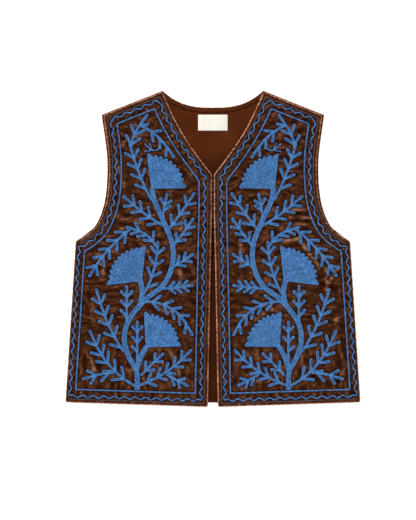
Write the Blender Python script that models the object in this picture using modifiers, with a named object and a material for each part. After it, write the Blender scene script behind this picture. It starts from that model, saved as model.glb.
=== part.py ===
"""An embroidered velvet waistcoat, laid flat on its back.

The velvet back lies on the surface with its lining up. The two fronts lie on it, and meet it at
the side and shoulder seams. X runs across, Y from the hem to the neck, and Z up from the surface.
"""

import math

import bmesh
import bpy
import numpy as np
from mathutils import Vector
from mathutils.bvhtree import BVHTree
from mathutils.geometry import intersect_line_line_2d

# The cut, in metres, on the wearer's half at +X. The other half is its mirror.
TOP_Y = 0.285  # the back's neck points, and the top of the part
HEM_CENTRE = (0.0090, -0.285)  # the front's corner at the opening
HEM_SIDE = (0.2655, -0.2765)
UNDERARM = (0.2470, 0.0135)
SHOULDER_TIP = (0.1980, 0.2400)
NECK_POINT = (0.0910, 0.2830)
OPENING_TOP = (0.0019, 0.1335)  # where the V neck ends
OPENING_PARTS_Y = 0.060  # the fronts lie side by side above this, and part below it
OPENING_POWER = 0.85
NECK_BOW = 0.0085  # how far the V neck curves out from a straight line
BACK_HEM_CENTRE_Y = -0.2775
BACK_HEM_SIDE_Y = -0.2725
BACK_SHOULDER_TIP = (0.2005, 0.2415)
BACK_NECK_LOW_Y = 0.2545
BACK_NECK_POWER = 2.75
CORNER_ROUND = 0.0009

# The armhole: height, the front's edge and the back's edge, which shows a little beyond it.
ARMHOLE = (
    # y, front_x, back_x
    (0.0135, 0.2470, 0.2470),
    (0.0240, 0.2280, 0.2300),
    (0.0460, 0.2070, 0.2092),
    (0.0910, 0.1915, 0.1940),
    (0.1600, 0.1880, 0.1905),
    (0.2400, 0.1980, 0.2005),
)

# Thicknesses. Each piece is one seam gap from the next.
SEAM_GAP = 0.0003
BACK_WALL = 0.0012
LINING_WALL = 0.0010
FRONT_WALL = 0.0022
STITCH_WALL = 0.0010
STITCH_REACH = 0.0030  # stitches bridge the cloth's dips of this half width

# The turned and topstitched edge: distance in from the edge, and share of the front's full wall.
EDGE_ROLL = (
    # distance, share
    (0.0000, 0.80),
    (0.0025, 1.25),
    (0.0055, 0.85),
    (0.0080, 1.00),
)
SEAM_TURN = 0.0044  # over this width a front turns down to its seam with the back

# How far the lining stops short of the back's edges.
LINING_INSET_SEAM = 0.0085
LINING_INSET_EDGE = 0.0015
FACING_WIDTH = 0.0085
LABEL_SIZE = (0.054, 0.030)
LABEL_Y = 0.2265

# How a front lies: it crowns a little between its edges, and lifts beside the neck.
CROWN = 0.0016
CROWN_REACH = 0.045
NECK_LIFT = 0.0016
NECK_LIFT_RUN = 0.030
NECK_LIFT_REACH = 0.018
HEM_RIPPLE = 0.0004
HEM_RIPPLE_PITCH = 0.062
HEM_RIPPLE_REACH = 0.030

# The largest soft folds of each front, as it lies: centre, heading, length, width and height.
FOLDS = {
    "left": (
        # x, y, heading in degrees, length, width, height
        (0.196, 0.046, 118, 0.100, 0.016, 0.0011),
        (0.150, -0.005, 62, 0.090, 0.015, 0.0008),
        (0.215, -0.120, 84, 0.150, 0.018, 0.0010),
        (0.060, 0.020, 96, 0.130, 0.017, 0.0008),
        (0.070, -0.205, 78, 0.090, 0.016, 0.0009),
        (0.150, 0.195, 160, 0.080, 0.014, 0.0008),
    ),
    "right": (
        (0.205, 0.020, 140, 0.120, 0.016, 0.0012),
        (0.178, 0.080, 112, 0.090, 0.014, 0.0009),
        (0.225, -0.160, 92, 0.140, 0.018, 0.0010),
        (0.160, -0.185, 102, 0.080, 0.015, 0.0009),
        (0.062, -0.070, 88, 0.140, 0.017, 0.0008),
        (0.110, 0.205, 24, 0.080, 0.014, 0.0008),
    ),
}

# The embroidered plant: a stem that sways once each way, and three fan-shaped flowers.
STEM = (
    # x, y of its middle, from the root to the top flower
    (0.1360, -0.2540),
    (0.1375, -0.2200),
    (0.1500, -0.1970),
    (0.1590, -0.1660),
    (0.1525, -0.1310),
    (0.1230, -0.0930),
    (0.0900, -0.0660),
    (0.0730, -0.0300),
    (0.0730, 0.0080),
    (0.0880, 0.0480),
    (0.1045, 0.0850),
    (0.1095, 0.1095),
)
STEM_WIDTH = 0.0090
STEM_SECTIONS = 48
FAN_RADIUS = 0.060
FAN_SPREAD = 96.0
FAN_HEART = 0.004  # stem and fan both stop this far from where they meet
FLORETS = 11
FLORET_DEPTH = 0.0045
FLORET_STEPS = 3
FAN_RINGS = 5
FANS = {
    # name: apex x, apex y, heading in degrees
    "low": (0.1190, -0.1755, 134.0),
    "middle": (0.1310, -0.0565, 43.0),
    "top": (0.1095, 0.1095, 130.5),
}
STALKS = {
    # name: share of the stem's length where it forks off, its bow, its sections
    "low": (0.100, -0.002, 7),
    "middle": (0.415, 0.004, 8),
}

# Materials: colour as linear red, green and blue, then roughness.
VELVET = ("velvet_brown", (0.045, 0.018, 0.008), 0.95)
LINING = ("lining_brown", (0.085, 0.022, 0.006), 0.85)
THREAD = ("thread_blue", (0.055, 0.165, 0.400), 0.75)
LABEL = ("label_cream", (0.900, 0.860, 0.740), 0.80)

EDGE_POINTS = 24  # along each curved edge of a flat outline
STALK_STEPS = 200  # tried along a stalk, to find where it comes clear of the stem


def clear_scene():
    for item in list(bpy.data.objects):
        bpy.data.objects.remove(item)


def material(name, colour, roughness):
    made = bpy.data.materials.get(name) or bpy.data.materials.new(name)
    made.use_nodes = True
    shader = made.node_tree.nodes["Principled BSDF"]
    shader.inputs["Base Color"].default_value = (*colour, 1.0)
    shader.inputs["Roughness"].default_value = roughness
    shader.inputs["Metallic"].default_value = 0.0
    return made


def smooth_curve(points, steps):
    """Points on one smooth curve through the given ones, with some steps between each pair."""
    points = np.array(points, float)
    padded = np.vstack([2 * points[0] - points[1], points, 2 * points[-1] - points[-2]])
    share = np.linspace(0, 1, steps, endpoint=False)[:, None]
    made = []
    for before, start, end, after in zip(padded, padded[1:], padded[2:], padded[3:]):
        made.append(
            start
            + 0.5 * share * (end - before)
            + share**2 * (before - 2.5 * start + 2 * end - 0.5 * after)
            + share**3 * (1.5 * (start - end) + 0.5 * (after - before))
        )
    return np.vstack([*made, points[-1:]])


def armhole_x(y, side):
    """The armhole's edge at height y, of the front or of the back."""
    column = {"front": 1, "back": 2}[side]
    curve = smooth_curve([(row[column], row[0]) for row in ARMHOLE], 12)
    return np.interp(y, curve[:, 1], curve[:, 0])


def opening_x(y):
    """The front's edge along the opening, which parts towards the hem."""
    fall = np.clip((OPENING_PARTS_Y - y) / (OPENING_PARTS_Y - HEM_CENTRE[1]), 0, 1)
    return OPENING_TOP[0] + (HEM_CENTRE[0] - OPENING_TOP[0]) * fall**OPENING_POWER


def neck_x(y):
    """The V neck's edge, from the opening's top to the neck point."""
    rise = np.clip((y - OPENING_TOP[1]) / (NECK_POINT[1] - OPENING_TOP[1]), 0, 1)
    straight = OPENING_TOP[0] + (NECK_POINT[0] - OPENING_TOP[0]) * rise
    return straight + NECK_BOW * np.sin(math.pi * rise)


def inner_x(y):
    return np.where(y > OPENING_TOP[1], neck_x(y), opening_x(y))


def outer_x(y):
    """The front's outer edge: the side seam, then the armhole."""
    side = np.interp(y, (HEM_SIDE[1], UNDERARM[1]), (HEM_SIDE[0], UNDERARM[0]))
    return np.where(y > UNDERARM[1], armhole_x(y, "front"), side)


def along(edge_x, low, high, count):
    y = np.linspace(low, high, count)
    return np.column_stack([edge_x(y), y])


def front_sides():
    """The front's outline as its sides in order, anticlockwise from the opening's hem corner."""
    return {
        "hem": np.array([HEM_CENTRE, HEM_SIDE]),
        "side": np.array([HEM_SIDE, UNDERARM]),
        "armhole": along(outer_x, UNDERARM[1], SHOULDER_TIP[1], EDGE_POINTS),
        "shoulder": np.array([SHOULDER_TIP, NECK_POINT]),
        "neck": along(inner_x, NECK_POINT[1], OPENING_TOP[1], EDGE_POINTS),
        "opening": along(inner_x, OPENING_TOP[1], HEM_CENTRE[1], EDGE_POINTS),
    }


def back_neck(x):
    share = np.abs(x) / NECK_POINT[0]
    return BACK_NECK_LOW_Y + (TOP_Y - BACK_NECK_LOW_Y) * share**BACK_NECK_POWER


def mirrored(line):
    """The same line on the other half, run the other way."""
    return line[::-1] * (-1, 1)


def back_sides():
    """The back's outline as its sides in order, anticlockwise from the hem."""
    hem_side = (HEM_SIDE[0], BACK_HEM_SIDE_Y)
    centre = (0.0, BACK_HEM_CENTRE_Y)
    y = np.linspace(UNDERARM[1], BACK_SHOULDER_TIP[1], EDGE_POINTS)
    x = np.linspace(NECK_POINT[0], -NECK_POINT[0], 2 * EDGE_POINTS + 1)
    side = np.array([hem_side, UNDERARM])
    armhole = np.column_stack([armhole_x(y, "back"), y])
    shoulder = np.array([BACK_SHOULDER_TIP, (NECK_POINT[0], TOP_Y)])
    return {
        "hem": np.array([(-hem_side[0], hem_side[1]), centre, hem_side]),
        "side": side,
        "armhole": armhole,
        "shoulder": shoulder,
        "neck": np.column_stack([x, back_neck(x)]),
        "other_shoulder": mirrored(shoulder),
        "other_armhole": mirrored(armhole),
        "other_side": mirrored(side),
    }


def shifted(line, distance):
    """The line moved in from its edge by distance, square to its own run."""
    run = np.gradient(line, axis=0)
    run /= np.linalg.norm(run, axis=1)[:, None]
    return line + distance * np.column_stack([-run[:, 1], run[:, 0]])


def lengthened(line, distance):
    """The line with both ends run on straight."""
    start, end = line[0] - line[1], line[-1] - line[-2]
    start, end = start / np.linalg.norm(start), end / np.linalg.norm(end)
    return np.vstack([line[0] + distance * start, line, line[-1] + distance * end])


def cut_corner(first, second):
    """Two neighbouring lines, each cut off where they cross."""
    for i in range(len(first) - 1, 0, -1):
        for j in range(1, len(second)):
            met = intersect_line_line_2d(first[i - 1], first[i], second[j - 1], second[j])
            if met is not None:
                met = np.array(met)
                return np.vstack([first[:i], met]), np.vstack([met, second[j:]])
    raise ValueError("two sides of an outline don't cross")


def inset(sides, distances):
    """The sides of an outline moved in, each by its own distance, and cut at their corners."""
    names = list(sides)
    reach = 2 * max(distances.values())
    moved = {name: lengthened(shifted(sides[name], distances[name]), reach) for name in names}
    for name, following in zip(names, names[1:] + names[:1]):
        moved[name], moved[following] = cut_corner(moved[name], moved[following])
    return moved


def distance_to(line, points):
    """How far each point is from a line of straight runs."""
    start, end = line[:-1], line[1:]
    run = end - start
    away = points[:, None, :] - start[None]
    share = (away * run).sum(2) / (run * run).sum(1)
    nearest = away - np.clip(share, 0, 1)[:, :, None] * run
    return np.linalg.norm(nearest, axis=2).min(1)


def ease(share):
    share = np.clip(share, 0, 1)
    return share * share * (3 - 2 * share)


def fold_height(points, folds):
    """The sum of soft ridges, each fading out along its length and across its width."""
    height = np.zeros(len(points))
    for x, y, heading, length, width, rise in folds:
        turn = math.radians(heading)
        dx, dy = points[:, 0] - x, points[:, 1] - y
        along_fold = dx * math.cos(turn) + dy * math.sin(turn)
        across = dy * math.cos(turn) - dx * math.sin(turn)
        fade = np.exp(-((2 * along_fold / length) ** 4))
        height += rise * np.exp(-((across / width) ** 2)) * fade
    return height


def front_underside(points, folds):
    """Height of a front's inner face over the surface, at points of the +X half."""
    sides = front_sides()
    far = {name: distance_to(line, points) for name, line in sides.items()}
    edge = np.min(list(far.values()), axis=0)
    seam = np.minimum(far["side"], far["shoulder"])
    at_seam = BACK_WALL + SEAM_GAP
    on_lining = at_seam + LINING_WALL + SEAM_GAP
    height = at_seam + (on_lining - at_seam) * ease(seam / SEAM_TURN)
    inside = 1 - np.exp(-((edge / CROWN_REACH) ** 2))
    height += inside * (CROWN + fold_height(points, folds))
    from_seam = far["shoulder"] / NECK_LIFT_RUN
    lift = from_seam * np.exp(1 - from_seam) * np.exp(-far["neck"] / NECK_LIFT_REACH)
    height += NECK_LIFT * lift
    ripple = 1 - np.cos(2 * math.pi * points[:, 0] / HEM_RIPPLE_PITCH)
    fade = np.exp(-far["hem"] / HEM_RIPPLE_REACH) * ease(seam / SEAM_TURN)
    return height + HEM_RIPPLE * ripple * fade


def front_rows():
    """Where a front's rows lie, as shares of its height: close together at edges and corners."""
    inner_run = NECK_POINT[1] - HEM_CENTRE[1]
    outer_run = SHOULDER_TIP[1] - HEM_SIDE[1]
    band = [distance / inner_run for distance, _ in EDGE_ROLL]
    underarm = (UNDERARM[1] - HEM_SIDE[1]) / outer_run
    curve = [underarm + step / outer_run for step in (0.004, 0.010, 0.018, 0.030)]
    opening_top = (OPENING_TOP[1] - HEM_CENTRE[1]) / inner_run
    return np.concatenate([
        band,
        np.linspace(band[-1], underarm, 18)[1:],
        curve,
        np.linspace(curve[-1], opening_top, 8)[1:],
        np.linspace(opening_top, 1 - band[-1], 9)[1:-1],
        [1 - share for share in reversed(band)],
    ])


def mitre(edge):
    """For each point of an edge, the way in to its left that keeps a band's width at corners."""
    run = np.diff(edge, axis=0)
    run /= np.linalg.norm(run, axis=1)[:, None]
    before, after = np.vstack([run[:1], run]), np.vstack([run, run[-1:]])
    middle = before + after
    middle /= np.linalg.norm(middle, axis=1)[:, None]
    half_turn = (middle * after).sum(1)
    return np.column_stack([-middle[:, 1], middle[:, 0]]) / half_turn[:, None]


def front_points():
    """A front's points in plan, row by row from the hem and column by column from the opening."""
    rows = front_rows()
    inner_y = HEM_CENTRE[1] + rows * (NECK_POINT[1] - HEM_CENTRE[1])
    outer_y = HEM_SIDE[1] + rows * (SHOULDER_TIP[1] - HEM_SIDE[1])
    inner = np.column_stack([inner_x(inner_y), inner_y])
    outer = np.column_stack([outer_x(outer_y), outer_y])
    into_inner, into_outer = -mitre(inner), mitre(outer)
    for way in (into_inner, into_outer):  # at hem and shoulder the way in keeps to the row
        way[:, 1] *= ease(np.minimum(rows, 1 - rows) / rows[4])
    band = [distance for distance, _ in EDGE_ROLL]
    near = [inner + into_inner * distance for distance in band]
    far = [outer + into_outer * distance for distance in reversed(band)]
    between = [near[-1] + (far[0] - near[-1]) * share for share in np.linspace(0, 1, 12)[1:-1]]
    grid = np.stack([*near, *between, *far], axis=1)
    centre = grid.mean(axis=(0, 1))
    for row in (0, -1):
        for column in (0, -1):
            grid[row, column] += np.sign(centre - grid[row, column]) * CORNER_ROUND
    return grid


def wall_share(edge_distance):
    """How thick a front's wall is, as a share of the full wall, over its rolled edge."""
    distances, shares = zip(*EDGE_ROLL)
    return np.interp(edge_distance, distances, shares)


def add_object(name, mesh, finish, collection):
    made = bpy.data.objects.new(name, mesh)
    mesh.materials.append(material(*finish))
    collection.objects.link(made)
    return made


def cloth_grid(name, points, finish, collection):
    """An open sheet with its points in rows and columns, facing up."""
    rows, columns = points.shape[:2]
    sheet = bmesh.new()
    bmesh.ops.create_grid(sheet, x_segments=columns - 1, y_segments=rows - 1, size=0.5)
    for vertex in sheet.verts:
        column = round((vertex.co.x + 0.5) * (columns - 1))
        row = round((vertex.co.y + 0.5) * (rows - 1))
        vertex.co = points[row, column]
    mesh = bpy.data.meshes.new(name)
    sheet.to_mesh(mesh)
    sheet.free()
    mesh.shade_smooth()
    return add_object(name, mesh, finish, collection)


def thicken(sheet, wall, shares=None):
    """Gives a sheet its wall, upwards. shares holds each point's share of the wall, if it varies."""
    solid = sheet.modifiers.new("wall", "SOLIDIFY")
    solid.thickness = wall
    solid.offset = 1.0
    if shares is not None:
        group = sheet.vertex_groups.new(name="wall")
        for vertex, share in zip(sheet.data.vertices, shares):
            group.add([vertex.index], share, "REPLACE")
        solid.vertex_group = group.name


def make_front(side, collection):
    """One velvet front, with its rolled edge, crown and folds."""
    plan = front_points()
    flat = plan.reshape(-1, 2)
    height = front_underside(flat, FOLDS[side]).reshape(plan.shape[:2])
    points = np.dstack([plan, height])
    if side == "left":
        points = points[:, ::-1] * (-1, 1, 1)
    front = cloth_grid(f"front_{side}", points, VELVET, collection)
    placed = np.array([vertex.co[:2] for vertex in front.data.vertices])
    placed[:, 0] = np.abs(placed[:, 0])
    edge = np.min([distance_to(line, placed) for line in front_sides().values()], axis=0)
    thickest = max(share for _, share in EDGE_ROLL)
    thicken(front, FRONT_WALL * thickest, wall_share(edge) / thickest)
    return front


def make_plate(name, outline, bottom, wall, finish, collection):
    """A flat piece of cloth cut to an outline."""
    curve = bpy.data.curves.new(name, "CURVE")
    curve.dimensions = "2D"
    curve.fill_mode = "BOTH"
    curve.extrude = wall / 2
    spline = curve.splines.new("POLY")
    spline.points.add(len(outline) - 1)
    spline.points.foreach_set("co", np.pad(outline, ((0, 0), (0, 2))).ravel())
    spline.use_cyclic_u = True
    plate = add_object(name, curve, finish, collection)
    plate.location.z = bottom + wall / 2
    return plate


def closed_line(sides):
    return np.vstack([line[:-1] for line in sides.values()])


def lining_insets(neck):
    distances = dict.fromkeys(("hem", "armhole", "other_armhole"), LINING_INSET_EDGE)
    distances.update(dict.fromkeys(("side", "other_side"), LINING_INSET_SEAM))
    distances.update(dict.fromkeys(("shoulder", "other_shoulder"), LINING_INSET_SEAM))
    return {**distances, "neck": neck}


def make_back(collection):
    """The velvet back, its lining, the neck facing, and the label sewn below it."""
    sides = back_sides()
    make_plate("back", closed_line(sides), 0.0, BACK_WALL, VELVET, collection)
    on_back = BACK_WALL + SEAM_GAP
    facing_low = LINING_INSET_EDGE + FACING_WIDTH
    cut = inset(sides, lining_insets(facing_low + SEAM_GAP))
    make_plate("back_lining", closed_line(cut), on_back, LINING_WALL, LINING, collection)
    upper = inset(sides, lining_insets(LINING_INSET_EDGE))["neck"]
    lower = inset(sides, lining_insets(facing_low))["neck"]
    strip = np.vstack([upper, lower[::-1]])
    make_plate("neck_facing", strip, on_back, LINING_WALL, LINING, collection)
    width, height = LABEL_SIZE
    corners = np.array([(-1, -1), (1, -1), (1, 1), (-1, 1)]) * (width / 2, height / 2)
    on_lining = on_back + LINING_WALL + SEAM_GAP
    label = corners + (0, LABEL_Y)
    make_plate("label", label, on_lining, STITCH_WALL, LABEL, collection)


def stem_line(shares):
    """The stem's middle line in plan, at shares of its length."""
    curve = smooth_curve(STEM, 12)
    runs = np.linalg.norm(np.diff(curve, axis=0), axis=1)
    place = np.concatenate([[0], np.cumsum(runs)])
    return np.column_stack([np.interp(shares * place[-1], place, axis) for axis in curve.T])


def edges(line):
    """Both edges of a band of chain stitch along a line."""
    return shifted(line, STEM_WIDTH / 2), shifted(line, -STEM_WIDTH / 2)


def stalk_line(name):
    """A flower stalk's middle line, from beside the stem to the fan."""
    fork, bow, sections = STALKS[name]
    start, end = stem_line(np.array([fork]))[0], np.array(FANS[name][:2])
    run = end - start
    shares = np.linspace(0, 1, STALK_STEPS)
    line = start + np.outer(shares, run)
    square = np.array((-run[1], run[0])) / np.linalg.norm(run)
    line += np.outer(np.sin(math.pi * shares), square) * bow
    stem = stem_line(np.linspace(0, 1, 200))
    clear = [distance_to(stem, edge) > STEM_WIDTH / 2 + SEAM_GAP for edge in edges(line)]
    touching = np.flatnonzero(~np.all(clear, axis=0))
    short = np.linalg.norm(line - end, axis=1) > FAN_HEART
    first, last = touching[-1] + 1, np.flatnonzero(short)[-1]
    return line[np.linspace(first, last, sections).round().astype(int)]


def ribbon(line):
    """A band of chain stitch along a line, as rows of a grid."""
    left, right = edges(line)
    return np.stack([left, line, right], axis=1)


def fan_grid(x, y, heading):
    """A fan of florets in plan, as rings of points out from the stem's end."""
    steps = FLORETS * FLORET_STEPS
    turn = np.radians(heading + FAN_SPREAD * np.linspace(0.5, -0.5, steps + 1))
    lobe = np.abs(np.sin(np.linspace(0, FLORETS * math.pi, steps + 1)))
    rim = FAN_RADIUS + FLORET_DEPTH * (lobe - 1)
    rings = []
    for share in np.linspace(0, 1, FAN_RINGS):
        radius = FAN_HEART + (rim - FAN_HEART) * share
        rings.append(np.column_stack([x + radius * np.cos(turn), y + radius * np.sin(turn)]))
    return np.stack(rings)


def top_of(surface, x, y):
    """The highest that a front lies close to a point."""
    down, above = Vector((0, 0, -1)), 0.1
    heights = []
    for dx, dy in ((0, 0), (1, 0), (-1, 0), (0, 1), (0, -1)):
        start = Vector((x + dx * STITCH_REACH, y + dy * STITCH_REACH, above))
        heights.append(surface.ray_cast(start, down)[0].z)
    return max(heights)


def lay_on(front, name, plan, collection):
    """Raised embroidery: a sheet whose points are the front's own, moved out by the seam gap."""
    surface = BVHTree.FromObject(front, bpy.context.evaluated_depsgraph_get())
    side = front.name.split("_")[1]
    if side == "left":
        plan = plan[:, ::-1] * (-1, 1)
    height = np.array([[top_of(surface, x, y) for x, y in row] for row in plan])
    points = np.dstack([plan, height + SEAM_GAP])
    sheet = cloth_grid(f"{name}_{side}", points, THREAD, collection)
    thicken(sheet, STITCH_WALL)


def embroider(front, collection):
    """The stem, the two flower stalks and the three fans on one front."""
    line = stem_line(np.linspace(0, 1, STEM_SECTIONS + 1))
    line = line[np.linalg.norm(line - FANS["top"][:2], axis=1) > FAN_HEART]
    lay_on(front, "stem", ribbon(line), collection)
    for name in STALKS:
        lay_on(front, f"stalk_{name}", ribbon(stalk_line(name)), collection)
    for name, (x, y, heading) in FANS.items():
        lay_on(front, f"fan_{name}", fan_grid(x, y, heading), collection)


def main():
    clear_scene()
    waistcoat = bpy.data.collections.new("waistcoat")
    bpy.context.scene.collection.children.link(waistcoat)
    make_back(waistcoat)
    for side in ("left", "right"):
        front = make_front(side, waistcoat)
        bpy.context.view_layer.update()
        embroider(front, waistcoat)


main()
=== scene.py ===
"""An embroidered velvet waistcoat lying flat on its back, seen from straight above.

X runs across, Y from the hem to the neck, and Z up from the floor, in metres. Plan shapes are
worked out for the half at +X, and the half at -X is its mirror. Only the creases differ, and
how the pile is crushed and worn.
"""

import math

import bmesh
import bpy
import numpy as np
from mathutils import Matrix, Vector, kdtree, noise
from mathutils.bvhtree import BVHTree


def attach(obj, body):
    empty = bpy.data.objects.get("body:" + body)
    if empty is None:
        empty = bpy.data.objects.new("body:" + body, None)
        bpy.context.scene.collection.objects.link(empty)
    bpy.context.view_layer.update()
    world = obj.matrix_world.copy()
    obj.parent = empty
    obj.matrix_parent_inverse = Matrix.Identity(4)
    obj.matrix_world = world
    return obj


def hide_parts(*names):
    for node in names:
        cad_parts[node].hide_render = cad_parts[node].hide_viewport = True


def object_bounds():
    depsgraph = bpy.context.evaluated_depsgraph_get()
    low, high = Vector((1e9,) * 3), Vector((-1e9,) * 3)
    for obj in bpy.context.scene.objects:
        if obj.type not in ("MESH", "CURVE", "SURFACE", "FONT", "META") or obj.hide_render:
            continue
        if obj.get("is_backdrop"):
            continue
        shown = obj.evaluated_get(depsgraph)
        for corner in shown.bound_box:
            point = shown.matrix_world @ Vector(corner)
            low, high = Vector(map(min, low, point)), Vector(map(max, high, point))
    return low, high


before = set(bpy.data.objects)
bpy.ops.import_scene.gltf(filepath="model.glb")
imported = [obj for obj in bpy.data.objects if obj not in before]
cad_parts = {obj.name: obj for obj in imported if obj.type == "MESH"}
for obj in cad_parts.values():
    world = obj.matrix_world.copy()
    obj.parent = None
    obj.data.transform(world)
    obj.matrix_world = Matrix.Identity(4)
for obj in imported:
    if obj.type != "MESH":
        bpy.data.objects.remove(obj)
cad_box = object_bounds()


# Camera: straight above, upright, with the waistcoat in the middle of a tall picture.
# It is far enough away that the cloth's small height hardly shifts anything.
PICTURE_TALL = 0.936  # metres of floor from the picture's bottom to its top
PICTURE_CENTRE = (-0.0088, -0.0204)
LENS, SENSOR = 85.0, 36.0  # millimetres
CLOTH_TOP = 0.006  # about how high the fronts lie

camera_data = bpy.data.cameras.new("camera")
camera_data.lens = LENS
camera_data.sensor_width = SENSOR
camera = bpy.data.objects.new("camera", camera_data)
camera.location = (*PICTURE_CENTRE, CLOTH_TOP + PICTURE_TALL * LENS / SENSOR)
bpy.context.scene.collection.objects.link(camera)
bpy.context.scene.camera = camera


# Floor: a plain white light table, of the kind that clothes are photographed on flat. A little
# light comes up through its matt top, which leaves hardly any shadow round the cloth.
FLOOR_SIZE = 8.0
FLOOR_DROP = 0.0002  # just under the cloth
FLOOR_GLOW = 0.32  # as much light as leaves the floor white in the picture


def linear(colour):
    """An sRGB hex colour as linear red, green, blue and alpha."""
    channels = [int(colour[i : i + 2], 16) / 255 for i in (1, 3, 5)]
    return (*[c / 12.92 if c <= 0.04045 else ((c + 0.055) / 1.055) ** 2.4 for c in channels], 1.0)


def socket_of(sockets, name):
    """A node's socket by its name or, where several share it, by its identifier."""
    name = name.replace(" ", "_")
    named = [s for s in sockets if name in (s.name.replace(" ", "_"), s.identifier)]
    return next(s for s in named if s.enabled)


def add_node(tree, kind, links=None, **settings):
    """Adds a node, or takes one that is there, and gives it its settings and its links.

    Settings are its properties, or its inputs' values with _ for a space. Links come from sockets,
    or from nodes, of which the first output counts.
    """
    node = tree.nodes.new(kind) if isinstance(kind, str) else kind
    for name, value in settings.items():
        if hasattr(node, name):
            setattr(node, name, value)
        else:
            socket_of(node.inputs, name).default_value = value
    for name, source in (links or {}).items():
        if isinstance(source, bpy.types.Node):
            source = next(s for s in source.outputs if s.enabled)
        tree.links.new(source, socket_of(node.inputs, name))
    return node


def new_material(name):
    """A material with its node tree and its shader."""
    made = bpy.data.materials.new(name)
    made.use_nodes = True
    return made, made.node_tree, made.node_tree.nodes["Principled BSDF"]


def mesh_of(name, build):
    """What a bmesh has built, as a smooth mesh."""
    mesh = bpy.data.meshes.new(name)
    build.to_mesh(mesh)
    build.free()
    mesh.shade_smooth()
    return mesh


def add_piece(name, mesh, material):
    """A piece at the origin, with its place in its mesh."""
    piece = bpy.data.objects.new(name, mesh)
    mesh.materials.clear()
    mesh.materials.append(material)
    bpy.context.scene.collection.objects.link(piece)
    return piece


# Opal acrylic, blasted matt: near white, with no gloss, lit softly from beneath.
acrylic, tree, shader = new_material("opal_acrylic")
add_node(tree, shader, Base_Color=linear("#fbfbfb"), Roughness=0.9)
add_node(tree, shader, Emission_Color=linear("#ffffff"), Emission_Strength=FLOOR_GLOW)

build = bmesh.new()
bmesh.ops.create_grid(build, x_segments=1, y_segments=1, size=FLOOR_SIZE / 2)
bmesh.ops.translate(build, verts=build.verts, vec=(0, 0, -FLOOR_DROP))
floor = add_piece("floor", mesh_of("floor", build), acrylic)
floor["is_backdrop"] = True


# Light: a bright even studio, with one broad soft lamp from the upper left.
# It rakes the pile and the folds, and leaves the floor white all over.
ROOM_WHITE = 0.98
LAMP_STRENGTH = 2.0
LAMP_SOFTNESS = 26.0  # degrees across
LAMP_FROM = Vector((-0.78, 0.82, 0.45))  # low, so that small folds stand out

world = bpy.data.worlds.new("studio")
world.use_nodes = True
tree = world.node_tree
add_node(tree, tree.nodes["Background"], Color=linear("#ffffff"), Strength=ROOM_WHITE)
bpy.context.scene.world = world
lamp_data = bpy.data.lights.new("soft_lamp", "SUN")
lamp_data.angle = math.radians(LAMP_SOFTNESS)
lamp_data.energy = LAMP_STRENGTH
lamp = bpy.data.objects.new("soft_lamp", lamp_data)
lamp.location = LAMP_FROM
lamp.rotation_euler = (-LAMP_FROM).to_track_quat("-Z", "Y").to_euler()
bpy.context.scene.collection.objects.link(lamp)
bpy.context.scene.view_settings.view_transform = "Standard"


# The cut: the outline of a velvet front and of the back, which is a little higher at the neck.
# The facing, the lining, the rolled edges and the rows of stitches all run parallel to it.
TOP_Y = 0.285
HEM_CENTRE = (0.0090, -0.2850)
HEM_SIDE = (0.2655, -0.2765)
UNDERARM = (0.2470, 0.0135)
SHOULDER_TIP = (0.1980, 0.2400)
NECK_POINT = (0.0910, 0.2830)
OPENING_TOP = (0.0019, 0.1335)  # where the V neck ends
OPENING_PARTS_Y = 0.060  # the fronts lie side by side above this, and part below it
OPENING_POWER = 0.85
NECK_BOW = 0.0085  # how far the V neck curves out from a straight line
BACK_HEM_CENTRE_Y = -0.2775
BACK_HEM_SIDE_Y = -0.2725
BACK_SHOULDER_TIP = (0.2005, 0.2415)
BACK_NECK_LOW_Y = 0.2545
BACK_NECK_POWER = 2.75
ARMHOLE = (
    # y, x of the front, x of the back
    (0.0135, 0.2470, 0.2470),
    (0.0240, 0.2280, 0.2300),
    (0.0460, 0.2070, 0.2092),
    (0.0910, 0.1915, 0.1940),
    (0.1600, 0.1880, 0.1905),
    (0.2400, 0.1980, 0.2005),
)
CURVE_STEPS = 12  # from one given point of a curve to the next
EDGE_POINTS = 40  # along each curved side


def smooth_curve(points):
    """Points on one smooth curve through the given ones."""
    points = np.array(points, float)
    padded = np.vstack([2 * points[0] - points[1], points, 2 * points[-1] - points[-2]])
    share = np.linspace(0, 1, CURVE_STEPS, endpoint=False)[:, None]
    made = []
    for before, start, end, after in zip(padded, padded[1:], padded[2:], padded[3:]):
        bend = share**2 * (before - 2.5 * start + 2 * end - 0.5 * after)
        twist = share**3 * (1.5 * (start - end) + 0.5 * (after - before))
        made.append(start + 0.5 * share * (end - before) + bend + twist)
    return np.vstack([*made, points[-1:]])


def armhole_x(y, panel):
    """How far out the armhole's edge is at a height, on the front or on the back."""
    curve = smooth_curve(ARMHOLE)
    return np.interp(y, curve[:, 0], curve[:, 1 if panel == "front" else 2])


def inner_x(y):
    """A front's edge along the opening and up the V neck."""
    fall = np.clip((OPENING_PARTS_Y - y) / (OPENING_PARTS_Y - HEM_CENTRE[1]), 0, 1)
    opening = OPENING_TOP[0] + (HEM_CENTRE[0] - OPENING_TOP[0]) * fall**OPENING_POWER
    rise = np.clip((y - OPENING_TOP[1]) / (NECK_POINT[1] - OPENING_TOP[1]), 0, 1)
    neck = OPENING_TOP[0] + (NECK_POINT[0] - OPENING_TOP[0]) * rise
    return np.where(y > OPENING_TOP[1], neck + NECK_BOW * np.sin(math.pi * rise), opening)


def outer_x(y):
    """A front's edge up the side seam and round the armhole."""
    side = np.interp(y, (HEM_SIDE[1], UNDERARM[1]), (HEM_SIDE[0], UNDERARM[0]))
    return np.where(y > UNDERARM[1], armhole_x(y, "front"), side)


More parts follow.
